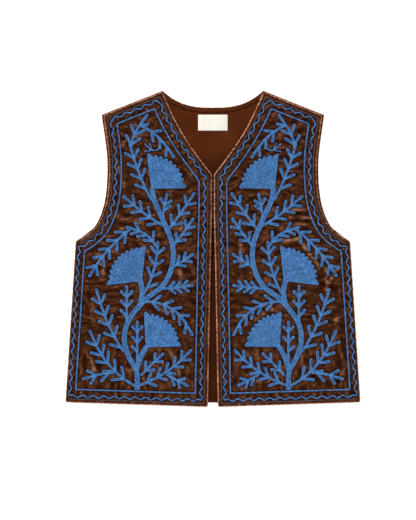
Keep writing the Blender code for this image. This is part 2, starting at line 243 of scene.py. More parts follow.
def back_neck(x):
    """How high the back's neck edge is, which dips in the middle."""
    share = np.abs(x) / NECK_POINT[0]
    return BACK_NECK_LOW_Y + (TOP_Y - BACK_NECK_LOW_Y) * share**BACK_NECK_POWER


def along(edge_x, low, high):
    """The points of a curved side from one height to another."""
    y = np.linspace(low, high, EDGE_POINTS)
    return np.column_stack([edge_x(y), y])


def front_sides():
    """The outline of the front at +X as its sides in order, anticlockwise from the hem."""
    return {
        "hem": np.array([HEM_CENTRE, HEM_SIDE]),
        "side": np.array([HEM_SIDE, UNDERARM]),
        "armhole": along(outer_x, UNDERARM[1], SHOULDER_TIP[1]),
        "shoulder": np.array([SHOULDER_TIP, NECK_POINT]),
        "neck": along(inner_x, NECK_POINT[1], OPENING_TOP[1]),
        "opening": along(inner_x, OPENING_TOP[1], HEM_CENTRE[1]),
    }


def back_sides():
    """The back's outline as its sides in order, anticlockwise from the hem."""
    hem_side = (HEM_SIDE[0], BACK_HEM_SIDE_Y)
    y = np.linspace(UNDERARM[1], BACK_SHOULDER_TIP[1], EDGE_POINTS)
    x = np.linspace(NECK_POINT[0], -NECK_POINT[0], 2 * EDGE_POINTS + 1)
    side = np.array([hem_side, UNDERARM])
    armhole = np.column_stack([armhole_x(y, "back"), y])
    shoulder = np.array([BACK_SHOULDER_TIP, (NECK_POINT[0], TOP_Y)])
    return {
        "hem": np.array([(-hem_side[0], hem_side[1]), (0.0, BACK_HEM_CENTRE_Y), hem_side]),
        "side": side,
        "armhole": armhole,
        "shoulder": shoulder,
        "neck": np.column_stack([x, back_neck(x)]),
        "other_shoulder": shoulder[::-1] * (-1, 1),
        "other_armhole": armhole[::-1] * (-1, 1),
        "other_side": side[::-1] * (-1, 1),
    }


def square_to(line, closed=False):
    """The way to the left of a line at each of its points."""
    if closed:
        run = np.roll(line[:-1], -1, axis=0) - np.roll(line[:-1], 1, axis=0)
        run = np.vstack([run, run[:1]])
    else:
        run = np.gradient(line, axis=0)
    run = run / np.linalg.norm(run, axis=1)[:, None]
    return np.column_stack([-run[:, 1], run[:, 0]])


def crossing(first, second):
    """Where two lines cross: the runs that cross, and the point."""
    away = second[None, :-1] - first[:-1, None]
    u, w = np.diff(first, axis=0)[:, None], np.diff(second, axis=0)[None]
    turn = u[..., 0] * w[..., 1] - u[..., 1] * w[..., 0]
    turn = np.where(np.abs(turn) < 1e-15, 1e-15, turn)  # runs side by side cross far away
    s = (away[..., 0] * w[..., 1] - away[..., 1] * w[..., 0]) / turn
    t = (away[..., 0] * u[..., 1] - away[..., 1] * u[..., 0]) / turn
    i, j = np.argwhere((s >= 0) & (s <= 1) & (t >= 0) & (t <= 1))[0]
    return i, j, first[i] + s[i, j] * (first[i + 1] - first[i])


def inset(sides, distances):
    """An outline's sides moved in, each by its own distance, and mitred at their corners."""
    reach = 2 * max(distances.values()) + 1e-4
    moved = {}
    for name, line in sides.items():
        line = line + distances[name] * square_to(line)
        start, end = line[0] - line[1], line[-1] - line[-2]
        start, end = start / np.linalg.norm(start), end / np.linalg.norm(end)
        moved[name] = np.vstack([line[0] + reach * start, line, line[-1] + reach * end])
    names = list(sides)
    for name, following in zip(names, names[1:] + names[:1]):
        i, j, met = crossing(moved[name], moved[following])
        moved[name] = np.vstack([moved[name][: i + 1], met])
        moved[following] = np.vstack([met, moved[following][j + 1 :]])
    return moved


def front_ring(distance, **others):
    """A closed line parallel to the front's outline, further in along the sides named."""
    sides = front_sides()
    moved = inset(sides, {**dict.fromkeys(sides, distance), **others})
    line = np.vstack([side[:-1] for side in moved.values()])
    return np.vstack([line, line[:1]])


def run_along(line):
    """How far along a line each of its points is."""
    return np.concatenate([[0], np.cumsum(np.linalg.norm(np.diff(line, axis=0), axis=1))])


def spaced(line, count):
    """The line with so many points, at one spacing."""
    run = run_along(line)
    stops = np.linspace(0, run[-1], count)
    return np.column_stack([np.interp(stops, run, line[:, i]) for i in (0, 1)])


def even(line, pitch):
    """The line with its points at one spacing, as near to pitch as its length allows."""
    return spaced(line, max(2, round(run_along(line)[-1] / pitch) + 1))


def flat_area(outline):
    """The area inside an outline."""
    x, y = outline[:, 0], outline[:, 1]
    return abs(np.dot(x, np.roll(y, -1)) - np.dot(y, np.roll(x, -1))) / 2


def distance_to(line, points):
    """How far points are from a line, and how far along it the nearest place is."""
    run = np.diff(line, axis=0)
    long = np.linalg.norm(run, axis=1)
    start = np.concatenate([[0], np.cumsum(long)[:-1]])
    best, place = np.full(len(points), 1e9), np.zeros(len(points))
    for origin, way, length, so_far in zip(line, run, long, start):
        share = np.clip(((points - origin) @ way) / max(length**2, 1e-12), 0, 1)
        far = np.linalg.norm(points - origin - share[:, None] * way, axis=1)
        nearer = far < best
        best[nearer] = far[nearer]
        place[nearer] = (so_far + share * length)[nearer]
    return best, place


def ease(share):
    """A share from 0 to 1 that starts and ends gently."""
    share = np.clip(share, 0, 1)
    return share * share * (3 - 2 * share)


# Back: one panel of the same velvet, pile side down on the floor, that carries everything else.
# It shows at the shoulders and armholes, and from below, where it has a few pressed creases.
BACK_WALL = 0.0012
CLOTH_PITCH = 0.0060  # the squares that a sheet is divided into, so that it can crease
BACK_CREASES = (
    # x, y, heading in degrees, length, width, height
    (-0.150, -0.190, 80, 0.160, 0.009, 0.00030),
    (-0.060, -0.120, 96, 0.210, 0.011, 0.00026),
    (0.050, -0.200, 72, 0.120, 0.008, 0.00028),
    (0.130, -0.090, 104, 0.170, 0.010, 0.00030),
    (0.205, -0.170, 84, 0.110, 0.008, 0.00024),
    (-0.215, -0.060, 62, 0.120, 0.009, 0.00028),
    (-0.120, 0.030, 24, 0.130, 0.010, 0.00030),
    (0.020, 0.010, 12, 0.190, 0.012, 0.00024),
    (0.155, 0.060, -30, 0.120, 0.009, 0.00030),
    (-0.050, 0.120, 58, 0.110, 0.008, 0.00026),
    (0.080, 0.160, -52, 0.100, 0.009, 0.00028),
    (-0.140, 0.190, 18, 0.090, 0.007, 0.00024),
    (0.000, -0.250, 4, 0.150, 0.007, 0.00022),
    (0.150, 0.205, -14, 0.080, 0.007, 0.00024),
)
UPRIGHT_BELOW = (-0.125, -0.195)  # creases turn from level to upright between these heights
PATCH_STRETCH = ((0.74, 1.25, 1.0), (1.25, 0.74, 1.0))  # of level patches and of upright ones
PILE_TONES = (
    # lightness of the pile, colour
    (0.20, "#1a0802"),
    (0.38, "#2b1306"),
    (0.53, "#381b0c"),
    (0.68, "#4a2a18"),
    (0.84, "#67432f"),
    (1.00, "#8d6550"),
)


def finish_sheet(name, sheet, material, marks, closed=False):
    """The sheet as a smooth piece, with its marks. An open one has its faces turned up."""
    for mark, values in marks.items():
        layer = sheet.verts.layers.float.new(mark)
        for vertex, value in zip(sheet.verts, values):
            vertex[layer] = value
    if closed:
        bmesh.ops.remove_doubles(sheet, verts=sheet.verts, dist=1e-6)
    bmesh.ops.recalc_face_normals(sheet, faces=sheet.faces)
    if not closed and sum(face.normal.z * face.calc_area() for face in sheet.faces) < 0:
        bmesh.ops.reverse_faces(sheet, faces=sheet.faces)
    return add_piece(name, mesh_of(name, sheet), material)


def cloth_grid(name, points, material, closed=False, **marks):
    """A sheet with its points in rows and columns, and a number for each point in its marks."""
    rows, columns = points.shape[:2]
    sheet = bmesh.new()
    bmesh.ops.create_grid(sheet, x_segments=columns - 1, y_segments=rows - 1, size=0.5)
    for vertex, point in zip(sheet.verts, points.reshape(-1, 3)):
        vertex.co = point
    marks = {mark: values.ravel() for mark, values in marks.items()}
    return finish_sheet(name, sheet, material, marks, closed)


def cloth_plate(name, outline, material, height, **marks):
    """A sheet cut to an outline, in small squares. Its height and marks are made from its plan."""
    sheet = bmesh.new()
    corners = [sheet.verts.new((x, y, 0)) for x, y in outline]
    bmesh.ops.contextual_create(sheet, geom=corners)
    low, high = outline.min(axis=0), outline.max(axis=0)
    for axis in (0, 1):
        square = Vector((axis == 0, axis == 1, 0))
        for stop in np.arange(low[axis] + CLOTH_PITCH / 2, high[axis], CLOTH_PITCH):
            every = [*sheet.verts, *sheet.edges, *sheet.faces]
            bmesh.ops.bisect_plane(sheet, geom=every, plane_co=square * stop, plane_no=square)
    plan = np.array([vertex.co[:2] for vertex in sheet.verts])
    for vertex, z in zip(sheet.verts, height(plan)):
        vertex.co.z = z
    marks = {mark: values(plan) for mark, values in marks.items()}
    return finish_sheet(name, sheet, material, marks)


def thicken(sheet, wall, way=1.0):
    """Gives a sheet its wall, upwards from its underside, or downwards with a way of -1."""
    solidify = sheet.modifiers.new("wall", "SOLIDIFY")
    solidify.thickness = wall
    solidify.offset = way


def fold_height(points, folds):
    """The sum of soft ridges, each fading out along its length and across its width."""
    height = np.zeros(len(points))
    for x, y, heading, length, width, rise in folds:
        turn = math.radians(heading)
        dx, dy = points[:, 0] - x, points[:, 1] - y
        along_fold = dx * math.cos(turn) + dy * math.sin(turn)
        across = dy * math.cos(turn) - dx * math.sin(turn)
        fade = np.exp(-((2 * along_fold / length) ** 4))
        height += rise * np.exp(-((across / width) ** 2)) * fade
    return height


def set_tones(ramp, tones):
    """Gives a colour ramp its stops, each a share and a colour."""
    while len(ramp.elements) < len(tones):
        ramp.elements.new(0.5)
    for element, (share, colour) in zip(ramp.elements, tones):
        element.position = share
        element.color = linear(colour)


def pile_material(name, tones):
    """Velvet whose colour is lighter where its mark of pile wear and painted highlight is high,
    and darker where the mark holds painted shade.
    """
    made, tree, shader = new_material(name)
    place = add_node(tree, "ShaderNodeTexCoord").outputs["Object"]
    ways = []
    for stretch in PATCH_STRETCH:
        drawn_out = add_node(tree, "ShaderNodeMapping", {"Vector": place}, Scale=stretch)
        leaning = add_node(
            tree,
            "ShaderNodeTexNoise",
            {"Vector": drawn_out},
            Scale=86.0,  # patches of pile that lean one way, about 9 mm by 16 mm
            Detail=3.0,
            Roughness=0.6,
            Distortion=0.9,
        )
        ways.append(leaning)
    apart = add_node(tree, "ShaderNodeSeparateXYZ", {"Vector": place})
    upright = add_node(
        tree,
        "ShaderNodeMapRange",
        {"Value": apart.outputs["Y"]},
        From_Min=UPRIGHT_BELOW[0],
        From_Max=UPRIGHT_BELOW[1],
    )
    patches = add_node(tree, "ShaderNodeMix", {"Factor": upright, "A": ways[0], "B": ways[1]})
    tufts = add_node(
        tree,
        "ShaderNodeTexNoise",
        {"Vector": place},
        Scale=330.0,  # tufts, drawn about 3 mm across because real ones are too fine to show
        Detail=2.0,
        Roughness=0.6,
        Distortion=0.5,
    )
    pile = add_node(tree, "ShaderNodeMix", {"A": patches, "B": tufts}, Factor=0.26)
    bends = add_node(
        tree,
        "ShaderNodeTexNoise",
        {"Vector": place},
        Scale=70.0,  # the bends between patches, where the pile breaks in a line about 1.5 mm wide, with a painted highlight along each
        Detail=2.0,
        Roughness=0.5,
        Distortion=1.6,
    )
    off_line = add_node(
        tree, "ShaderNodeMath", {"Value": bends}, operation="SUBTRACT", Value_001=0.5
    )
    from_line = add_node(tree, "ShaderNodeMath", {"Value": off_line}, operation="ABSOLUTE")
    # Painted highlight: the pile is lighter along each bend.
    bend_painted_highlight = add_node(
        tree,
        "ShaderNodeMapRange",
        {"Value": from_line},
        interpolation_type="SMOOTHSTEP",
        From_Max=0.045,
        To_Min=0.11,
        To_Max=0.0,
    )
    creased = add_node(
        tree, "ShaderNodeMath", {"Value": pile, "Value_001": bend_painted_highlight}, operation="ADD"
    )
    # Pile wear, painted highlight and painted shade, as each piece marks them.
    nap = add_node(tree, "ShaderNodeAttribute", attribute_name="nap").outputs["Fac"]
    lit = add_node(tree, "ShaderNodeMath", {"Value": nap, "Value_001": creased}, operation="ADD")
    tone = add_node(tree, "ShaderNodeValToRGB", {"Fac": lit})
    set_tones(tone.color_ramp, tones)
    dent = add_node(tree, "ShaderNodeBump", {"Height": creased}, Strength=0.8, Distance=0.002)
    add_node(
        tree,
        shader,
        {"Base Color": tone, "Normal": dent},
        Roughness=0.95,
        Specular_IOR_Level=0.03,
        Sheen_Weight=0.05,
        Sheen_Roughness=0.45,
        Sheen_Tint=linear("#c48f74"),
    )
    return made


# Crushed cotton velvet: dark brown cut pile that leans a different way in each patch, so it is
# near black in one place and a dusty light brown in the next. It has painted highlights along the
# bends between patches and on each ridge, and painted shade beside the stitches and in the rolled
# edges' dimples.
velvet = pile_material("crushed_cotton_velvet", PILE_TONES)

back_outline = np.vstack([side[:-1] for side in back_sides().values()])
back = cloth_plate(
    "velvet_back", back_outline, velvet, lambda points: fold_height(points, BACK_CREASES)
)
thicken(back, BACK_WALL)
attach(back, "root")
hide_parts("back")


# Back lining: thin brown cotton, cut a little smaller than the back, sewn on at the seams.
# It shows in the V of the neck and down the opening, nearly smooth, with a few soft ripples.
SEAM_GAP = 0.0003
LINING_WALL = 0.0010
LINING_INSET_SEAM = 0.0085
LINING_INSET_EDGE = 0.0015
FACING_WIDTH = 0.0085
OPENING_PAINTED_SHADE = (
    # y, how much painted shade: most where the opening is narrow
    (-0.285, 0.62),
    (-0.120, 0.62),
    (0.020, 1.0),
    (0.120, 1.0),
    (0.175, 0.0),
)
LINING_RIPPLES = (
    # x, y, heading in degrees, length, width, height
    (-0.045, 0.205, 116, 0.080, 0.010, 0.0006),
    (-0.018, 0.190, 98, 0.070, 0.008, 0.0004),
    (0.012, 0.185, 84, 0.090, 0.009, 0.0005),
    (0.040, 0.215, 62, 0.070, 0.009, 0.0006),
    (0.002, 0.160, 90, 0.060, 0.006, 0.0005),
    (-0.058, 0.236, 150, 0.050, 0.008, 0.0004),
    (0.060, 0.240, 32, 0.050, 0.007, 0.0004),
)
on_back = BACK_WALL + SEAM_GAP


def lining_insets(neck):
    """How far in from each side of the back its lining is cut."""
    distances = dict.fromkeys(("hem", "armhole", "other_armhole"), LINING_INSET_EDGE)
    distances.update(dict.fromkeys(("side", "other_side"), LINING_INSET_SEAM))
    distances.update(dict.fromkeys(("shoulder", "other_shoulder"), LINING_INSET_SEAM))
    return {**distances, "neck": neck}


def lining_height(points):
    """The lining lies on the back, with its creases under its own ripples."""
    return on_back + fold_height(points, BACK_CREASES) + fold_height(points, LINING_RIPPLES)


def painted_shade_share(points):
    """How much painted shade the lining has at each point."""
    y, share = np.array(OPENING_PAINTED_SHADE).T
    return np.interp(points[:, 1], y, share)


# Plain-woven cotton, dyed russet brown: matt, with fine crossing threads and uneven dye. Painted
# shade darkens it down the opening, most where the opening is narrow between the fronts, and along
# the neck facing's edges.
# Its threads are 0.35 mm apart, and are drawn 1.4 mm apart, so that they just show.
THREADS_APART = 0.0014
COTTON_TONES = ((0.35, "#461d08"), (0.68, "#52270f"))
PAINTED_SHADE_MOST = 0.92
cotton, tree, shader = new_material("plain_woven_cotton")
place = add_node(tree, "ShaderNodeTexCoord").outputs["Object"]
threads = []
for way in ("X", "Y"):
    wave = add_node(
        tree,
        "ShaderNodeTexWave",
        {"Vector": place},
        bands_direction=way,
        Scale=math.pi / 10 / THREADS_APART,
        Distortion=1.2,
        Detail=1.0,
    )
    threads.append(wave.outputs["Fac"])
weave = add_node(tree, "ShaderNodeMix", {"A": threads[0], "B": threads[1]}, Factor=0.5)
dye = add_node(
    tree, "ShaderNodeTexNoise", {"Vector": place}, Scale=14.0, Detail=4.0, Roughness=0.55
)
tone = add_node(tree, "ShaderNodeValToRGB", {"Fac": dye})
set_tones(tone.color_ramp, COTTON_TONES)
# Painted shade, as each piece marks it, which mixes the cotton towards a near-black brown.
soiled = add_node(tree, "ShaderNodeAttribute", attribute_name="soiled").outputs["Fac"]
darker = add_node(
    tree, "ShaderNodeMath", {"Value": soiled}, operation="MULTIPLY", Value_001=PAINTED_SHADE_MOST
)
shade = add_node(
    tree,
    "ShaderNodeMix",
    {"A_Color": tone, "Factor_Float": darker},
    data_type="RGBA",
    B_Color=linear("#1a0701"),
)
bump = add_node(tree, "ShaderNodeBump", {"Height": weave}, Strength=0.25, Distance=0.0004)
links = {"Base Color": shade, "Normal": bump}
add_node(tree, shader, links, Roughness=0.85, Specular_IOR_Level=0.04)

facing_low = LINING_INSET_EDGE + FACING_WIDTH
lining_sides = inset(back_sides(), lining_insets(facing_low + SEAM_GAP))
lining_outline = np.vstack([side[:-1] for side in lining_sides.values()])
lining = cloth_plate(
    "cotton_lining", lining_outline, cotton, lining_height, soiled=painted_shade_share
)
thicken(lining, LINING_WALL)
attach(lining, "root")
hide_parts("back_lining")


# Neck facing: a narrow strip of the lining cotton, folded under and stitched round the back
# neck. It lies just inside the velvet's rim, with a groove along the stitches at its edge.
FACING_PITCH = 0.0020
FACING_INSET = 0.0026  # the rim of the velvet shows above it
FACING_RIPPLE = 0.00025  # how high it puffs where it is eased round the curve
RIPPLE_STATIONS = 4.6  # from one such puff to the next
FACING_PROFILE = (
    # share of the way down the strip, height over the lining, how much painted shade
    (0.00, -0.0004, 0.5),
    (0.08, 0.0002, 0.2),
    (0.20, 0.0005, 0.0),
    (0.45, 0.0004, 0.0),
    (0.62, 0.0005, 0.2),
    (0.78, 0.0001, 1.0),
    (0.90, 0.0003, 1.0),
    (1.00, 0.0000, 0.8),
)
upper = inset(back_sides(), lining_insets(FACING_INSET))["neck"]
lower = inset(back_sides(), lining_insets(facing_low))["neck"]
stations = round(run_along(upper)[-1] / FACING_PITCH)
shares, rises, soiling_and_painted_shade = np.array(FACING_PROFILE).T
upper, lower = spaced(upper, stations), spaced(lower, stations)
plan = upper[:, None] + (lower - upper)[:, None] * shares[None, :, None]
count = np.arange(stations)
puffs = FACING_RIPPLE * np.sin(2 * math.pi * count / RIPPLE_STATIONS)
height = on_back + rises[None] + puffs[:, None] * np.sin(math.pi * shares)[None]
patchy = 0.6 + 0.4 * np.sin(count * 0.9 + 2 * np.sin(count / 5))  # painted shade along the edges, darker in some places
points = np.dstack([plan, height])
facing = cloth_grid("neck_facing_strip", points, cotton, soiled=patchy[:, None] * soiling_and_painted_shade[None])
thicken(facing, LINING_WALL)
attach(facing, "root")
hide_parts("neck_facing")


# Label: a blank woven ribbon, cut to length, its raw ends folded under, and sewn on by its
# four edges below the facing.
LABEL_SIZE = (0.0530, 0.0285)
LABEL_Y = 0.2270
LABEL_WALL = 0.0008
LABEL_CELLS = (36, 20)
LABEL_PUFF = 0.0005  # how high it stands off the lining in its middle
LABEL_BUCKLE = 0.00012
LABEL_SEWN_DOWN = 0.0002  # how much lower its stitched edges lie
on_lining = on_back + LINING_WALL + SEAM_GAP

# Woven polyester ribbon: cream, slightly glossy, with fine ribs across it 0.9 mm apart.
RIBS_APART = 0.0009
RIBBON_TONES = ((0.30, "#dcd7ca"), (0.60, "#e9e5da"))
ribbon, tree, shader = new_material("woven_polyester_ribbon")
place = add_node(tree, "ShaderNodeTexCoord").outputs["Object"]
ribs = add_node(
    tree,
    "ShaderNodeTexWave",
    {"Vector": place},
    bands_direction="Y",
    Scale=math.pi / 10 / RIBS_APART,
    Distortion=0.4,
).outputs["Fac"]
soiling_and_painted_shade = add_node(tree, "ShaderNodeTexNoise", {"Vector": place}, Scale=45.0, Detail=3.0)
tone = add_node(tree, "ShaderNodeValToRGB", {"Fac": soiling_and_painted_shade})
set_tones(tone.color_ramp, RIBBON_TONES)
bump = add_node(tree, "ShaderNodeBump", {"Height": ribs}, Strength=0.2, Distance=0.0003)
add_node(tree, shader, {"Base Color": tone, "Normal": bump}, Roughness=0.55)

across, up = np.meshgrid(*[np.linspace(-1, 1, cells + 1) for cells in LABEL_CELLS])
puff = LABEL_PUFF * (1 - across**4) * (1 - up**4) + LABEL_BUCKLE * np.sin(9 * across + 2 * up)
sunk = LABEL_SEWN_DOWN * np.exp(-((np.minimum(1 - abs(across), 1 - abs(up)) / 0.05) ** 2))
flat = np.dstack([across * LABEL_SIZE[0] / 2, LABEL_Y + up * LABEL_SIZE[1] / 2])
resting = fold_height(flat.reshape(-1, 2), (*BACK_CREASES, *LINING_RIPPLES)).reshape(up.shape)
label = cloth_grid("blank_label", np.dstack([flat, on_lining + resting + puff - sunk]), ribbon)
thicken(label, LABEL_WALL)
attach(label, "root")
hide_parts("label")


# The embroidery's drawing: where each row of chain stitch runs, as it is chalked on a front.
# The motifs are common ones: a winding stem, fan-shaped flowers, leafy sprigs, and a border of
# a straight row and a wavy one. A leaf is a row that goes out, round its tip and back.
PACKED = 0.0023  # from row to row where rows are sewn close
ROW_HALF = 0.0014  # half the width of a row
CORNER_HALF = 0.0018  # half the width of the loop that ends a flower's straight edge
# How far in from each side of the front the border's two rows run.
STRAIGHT_INSETS = dict(
    hem=0.0238, side=0.0172, armhole=0.0230, shoulder=0.0236, neck=0.0250, opening=0.0230
)
WAVY_INSETS = dict(
    hem=0.0115, side=0.0072, armhole=0.0134, shoulder=0.0126, neck=0.0120, opening=0.0130
)
WAVE_PITCH = 0.0188
WAVE_HEIGHT = 0.0023
WAVE_STEP = 0.0012
SEEN_STEP = 0.002  # how far apart a row's points are where only its nearness counts

STEM = (
    # x, y of its middle, from the root to the top flower
    (0.1360, -0.2540),
    (0.1375, -0.2200),
    (0.1500, -0.1970),
    (0.1590, -0.1660),
    (0.1525, -0.1310),
    (0.1230, -0.0930),
    (0.0900, -0.0660),
    (0.0730, -0.0300),
    (0.0730, 0.0080),
    (0.0880, 0.0480),
    (0.1045, 0.0850),
    (0.1095, 0.1095),
)
STEM_ROWS = 4
STEM_POINTS = 140
STALK_POINTS = 30
STALKS = (
    # share of the stem's length where it forks off, end x, end y, bow
    (0.085, 0.1190, -0.1755, -0.002),
    (0.405, 0.1310, -0.0565, 0.004),
)
FANS = (
    # apex x, apex y, heading and spread in degrees
    (0.1190, -0.1755, 133.0, 92.0),
    (0.1290, -0.0565, 44.5, 103.0),
    (0.1095, 0.1095, 131.0, 96.0),
)
FAN_RADIUS = 0.060
FLORET_SPREAD = 9.3  # degrees
FLORET_FOOT = 0.029  # from the apex to where a floret's own row starts
FLORET_HALF = (0.0012, 0.0026)  # half its width between rows, at its foot and at its tip
FLORET_FILLING = (0.035, 0.0575)  # the row inside each floret
FLORET_BETWEEN = (0.038, 0.0550)  # the row between two florets
FAN_EDGE = (0.001, FAN_RADIUS - 0.0005)  # from where to where its straight edges run
LOOP_POINTS = 8  # out along a loop, and as many back
LOOP_ROUND = 4  # round its tip
EDGE_BACK = 2  # how many of the way back a straight edge keeps
FAN_FILL = (
    # rows that fan out, where they start, where they end
    (4, 0.000, 0.006),
    (8, 0.006, 0.013),
    (13, 0.013, 0.021),
    (19, 0.021, 0.030),
)
SPRIGS = (
    # x, y, heading in degrees, length, bend in degrees, where its leaves start, its longest leaf
    (0.1400, -0.2470, 29, 0.132, 46, 0.024, 0.0250),
    (0.1780, -0.2230, -2, 0.060, -24, 0.009, 0.0230),
    (0.1360, -0.2030, 90, 0.074, 0, 0.017, 0.0172),
    (0.1600, -0.1860, 56, 0.125, 22, 0.011, 0.0235),
    (0.1550, -0.1330, 90, 0.068, 0, 0.011, 0.0190),
    (0.1330, -0.2460, 161, 0.116, -32, 0.016, 0.0215),
    (0.0830, -0.2260, 212, 0.045, -8, 0.010, 0.0190),
    (0.1290, -0.2280, 132, 0.058, 8, 0.012, 0.0195),
    (0.1210, -0.0950, 180, 0.114, 78, 0.012, 0.0220),
    (0.0800, 0.0340, 128, 0.082, -6, 0.011, 0.0220),
    (0.0900, 0.0560, 97, 0.045, 8, 0.011, 0.0190),
    (0.0870, 0.0400, 30, 0.095, 14, 0.011, 0.0235),
    (0.0710, 0.0050, 128, 0.063, -4, 0.010, 0.0200),
    (0.0720, -0.0330, 150, 0.046, -6, 0.008, 0.0195),
    (0.0900, -0.0720, 176, 0.057, -6, 0.010, 0.0185),
    (0.1250, -0.0820, 121, 0.102, -34, 0.012, 0.0225),
    (0.1020, 0.0040, 62, 0.068, -66, 0.010, 0.0210),
    (0.1490, 0.0350, -38, 0.116, -24, 0.010, 0.0225),
    (0.1102, 0.0872, 61, 0.110, 17, 0.022, 0.0235),
    (0.1478, 0.1835, 102, 0.067, 36, 0.004, 0.0225),
    (0.1275, 0.2205, 207, 0.084, 38, 0.020, 0.0215),
    (0.0955, 0.1890, -100, 0.040, 228, 0.023, 0.0150),
)
LEAVES_APART = 0.88  # from pair to pair, as a share of the longest leaf
LAST_PAIR = 0.22  # from the last pair to the end leaf's foot, as a share of the longest leaf
LAST_LEAF = 0.90  # how long the last pair is, as a share of the first
LEAF_HALF = (0.0012, 0.0018)  # half its width between rows, at its foot and at its tip
LEAF_NARROW = 0.75  # how wide a leaf is at its foot, as a share of its width
LEAF_TIP = 0.0012  # how far the thread reaches past the loop of its row
LEAF_ANGLE = 42.0
SPRIG_STEPS = 40
SMALL_LEAF = 0.0153  # a leaf up to this long is one plain row, and so is its sprig's stem
LEAF_CLEAR = 0.0026  # how near a leaf's tip may come to what is drawn already


def wavy_row():
    """The zigzag row of the border, with a whole number of rounded waves."""
    line = even(front_ring(0.0, **WAVY_INSETS), WAVE_STEP)
    share = np.linspace(0, 1, len(line))
    wave = np.sin(2 * math.pi * round(run_along(line)[-1] / WAVE_PITCH) * share)
    return line + square_to(line, closed=True) * (WAVE_HEIGHT * wave)[:, None]


def stem_line(shares):
    """The stem's middle line at shares of its length."""
    curve = smooth_curve(STEM)
    run = run_along(curve)
    return np.column_stack([np.interp(shares * run[-1], run, axis) for axis in curve.T])


def side_by_side(line, count):
    """Packed rows along one line."""
    offsets = (np.arange(count) - (count - 1) / 2) * PACKED
    return [line + square_to(line) * offset for offset in offsets]


def stalk_rows(fork, end_x, end_y, bow):
    """The rows of a stalk, which leave the stem's own rows and end in a flower."""
    start, end = stem_line(np.array([fork]))[0], np.array((end_x, end_y))
    shares = np.linspace(0, 1, STALK_POINTS)
    across = np.array((start[1] - end[1], end[0] - start[0])) / np.linalg.norm(end - start)
    line = start + np.outer(shares, end - start)
    line += np.outer(np.sin(math.pi * shares), across) * bow
    return side_by_side(line, STEM_ROWS)


def turned(ahead, across, x, y, heading):
    """Points given ahead of and across a heading, put where they belong."""
    cos, sin = math.cos(heading), math.sin(heading)
    return np.column_stack([x + ahead * cos - across * sin, y + ahead * sin + across * cos])


def loop(start, end, foot, tip):
    """A row out from start to end, round, and back: (ahead, across)."""
    out = np.linspace(start, end, LOOP_POINTS)
    half = foot + (tip - foot) * (out - start) / (end - start)
    bend = np.radians(np.linspace(60, -60, LOOP_ROUND))
    ahead = np.concatenate([out, end + tip * np.cos(bend), out[::-1]])
    return ahead, np.concatenate([half, tip * np.sin(bend), -half[::-1]])


def fan_rows(x, y, heading, spread):
    """A flower: rows that fan out from its heart, looped florets, and its two straight edges."""
    low = math.radians(heading - spread / 2)
    sweep = math.radians(spread)
    rows = []
    for count, *reach in FAN_FILL:
        for share in (np.arange(count) + 0.5) / count:
            rows.append(turned(np.array(reach), np.zeros(2), x, y, low + share * sweep))
    florets = round(spread / FLORET_SPREAD)
    neck = FAN_RADIUS - FLORET_HALF[1] - ROW_HALF
    for share in (np.arange(florets) + 0.5) / florets:
        middle = low + share * sweep
        between = middle - sweep / florets / 2
        rows.append(turned(*loop(FLORET_FOOT, neck, *FLORET_HALF), x, y, middle))
        rows.append(turned(np.array(FLORET_FILLING), np.zeros(2), x, y, middle))
        rows.append(turned(np.array(FLORET_BETWEEN), np.zeros(2), x, y, between))
    kept = slice(LOOP_POINTS + LOOP_ROUND + EDGE_BACK)
    for side in (-1, 1):
        ahead, across = loop(*FAN_EDGE, CORNER_HALF, CORNER_HALF)
        across = across[kept] - CORNER_HALF + ROW_HALF / 2
        edge = low + sweep / 2 + side * sweep / 2
        rows.append(turned(ahead[kept], side * across, x, y, edge))
    return rows


def leaf_row(x, y, heading, length):
    """One leaf: a row that goes out, round its tip and back, or a plain row if it is small."""
    if length < SMALL_LEAF:
        return turned(np.array((0.0, length)), np.zeros(2), x, y, heading)
    ahead, across = loop(0.0, length - LEAF_HALF[1] - LEAF_TIP, *LEAF_HALF)
    across *= LEAF_NARROW + (1 - LEAF_NARROW) * ahead / length
    return turned(ahead, across, x, y, heading)


def sprig_rows(taken, x, y, heading, length, bend, first, leaf):
    """A leafy sprig: one or two rows for its stem, leaves in pairs, and one leaf at its end.

    A leaf is left out where its outer part would come too near to a point that is taken.
    """
    turn = np.radians(heading + bend * np.linspace(0, 1, SPRIG_STEPS))
    per_step = length / (SPRIG_STEPS - 1)
    stride = np.column_stack([np.cos(turn), np.sin(turn)]) * per_step
    line = np.array((x, y)) + np.vstack([(0, 0), np.cumsum(stride[:-1], axis=0)])
    stop = round((length - leaf) / per_step)
    rows = [row[: stop + 1] for row in side_by_side(line, 2 if leaf > SMALL_LEAF else 1)]
    leaves = [leaf_row(*line[stop], turn[stop], leaf)]
    last = length - leaf - LAST_PAIR * leaf
    pairs = max(0, round((last - first) / (LEAVES_APART * leaf))) + 1
    for place in np.linspace(first, last, pairs):
        at = round(place / per_step)
        long = leaf * (1 + (LAST_LEAF - 1) * place / last)
        for side in (-1, 1):
            lean = turn[at] + side * math.radians(LEAF_ANGLE)
            leaves.append(leaf_row(*line[at], lean, long))
    for row in leaves:
        away = np.linalg.norm(row - row[[0, -1]].mean(axis=0), axis=1)
        outer = row[away > 0.5 * away.max()]
        if np.linalg.norm(outer[:, None] - taken[None], axis=2).min() > LEAF_CLEAR:
            rows.append(row)
    return rows


